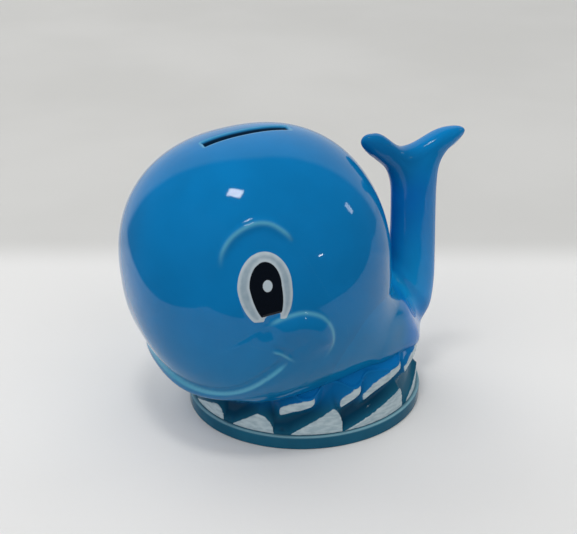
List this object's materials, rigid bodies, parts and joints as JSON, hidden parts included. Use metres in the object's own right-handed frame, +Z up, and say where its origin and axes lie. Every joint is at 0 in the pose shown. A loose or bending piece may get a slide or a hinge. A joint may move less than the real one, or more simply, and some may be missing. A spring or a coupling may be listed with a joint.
{
  "type": "coin bank",
  "caption": "Whale-shaped glazed ceramic coin bank with a raised tail, a coin slot in the crown, an oval base of waves and a pull-out rubber stopper underneath.",
  "frame": {"origin": "middle of the footprint's bounding box, on the surface the bank stands on", "axes": "+Z up, the whale's nose towards -Y, +X its left side"},
  "size_m": [0.1088, 0.148, 0.1207],
  "materials": {
    "body_glaze": "glossy blue glaze",
    "tail_glaze": "glossy blue glaze, a little deeper",
    "base_glaze": "glossy teal glaze",
    "stopper_rubber": "matt black rubber"
  },
  "bodies": {
    "bank": {"body_shell": "body_glaze", "tail": "tail_glaze", "wave_base": "base_glaze"},
    "stopper": {"stopper": "stopper_rubber"}
  },
  "joints": [
    {"name": "stopper_pull", "type": "slide", "parent": "bank", "child": "stopper", "axis": [0, 0, -1], "range_m": [0, 0.025]}
  ]
}
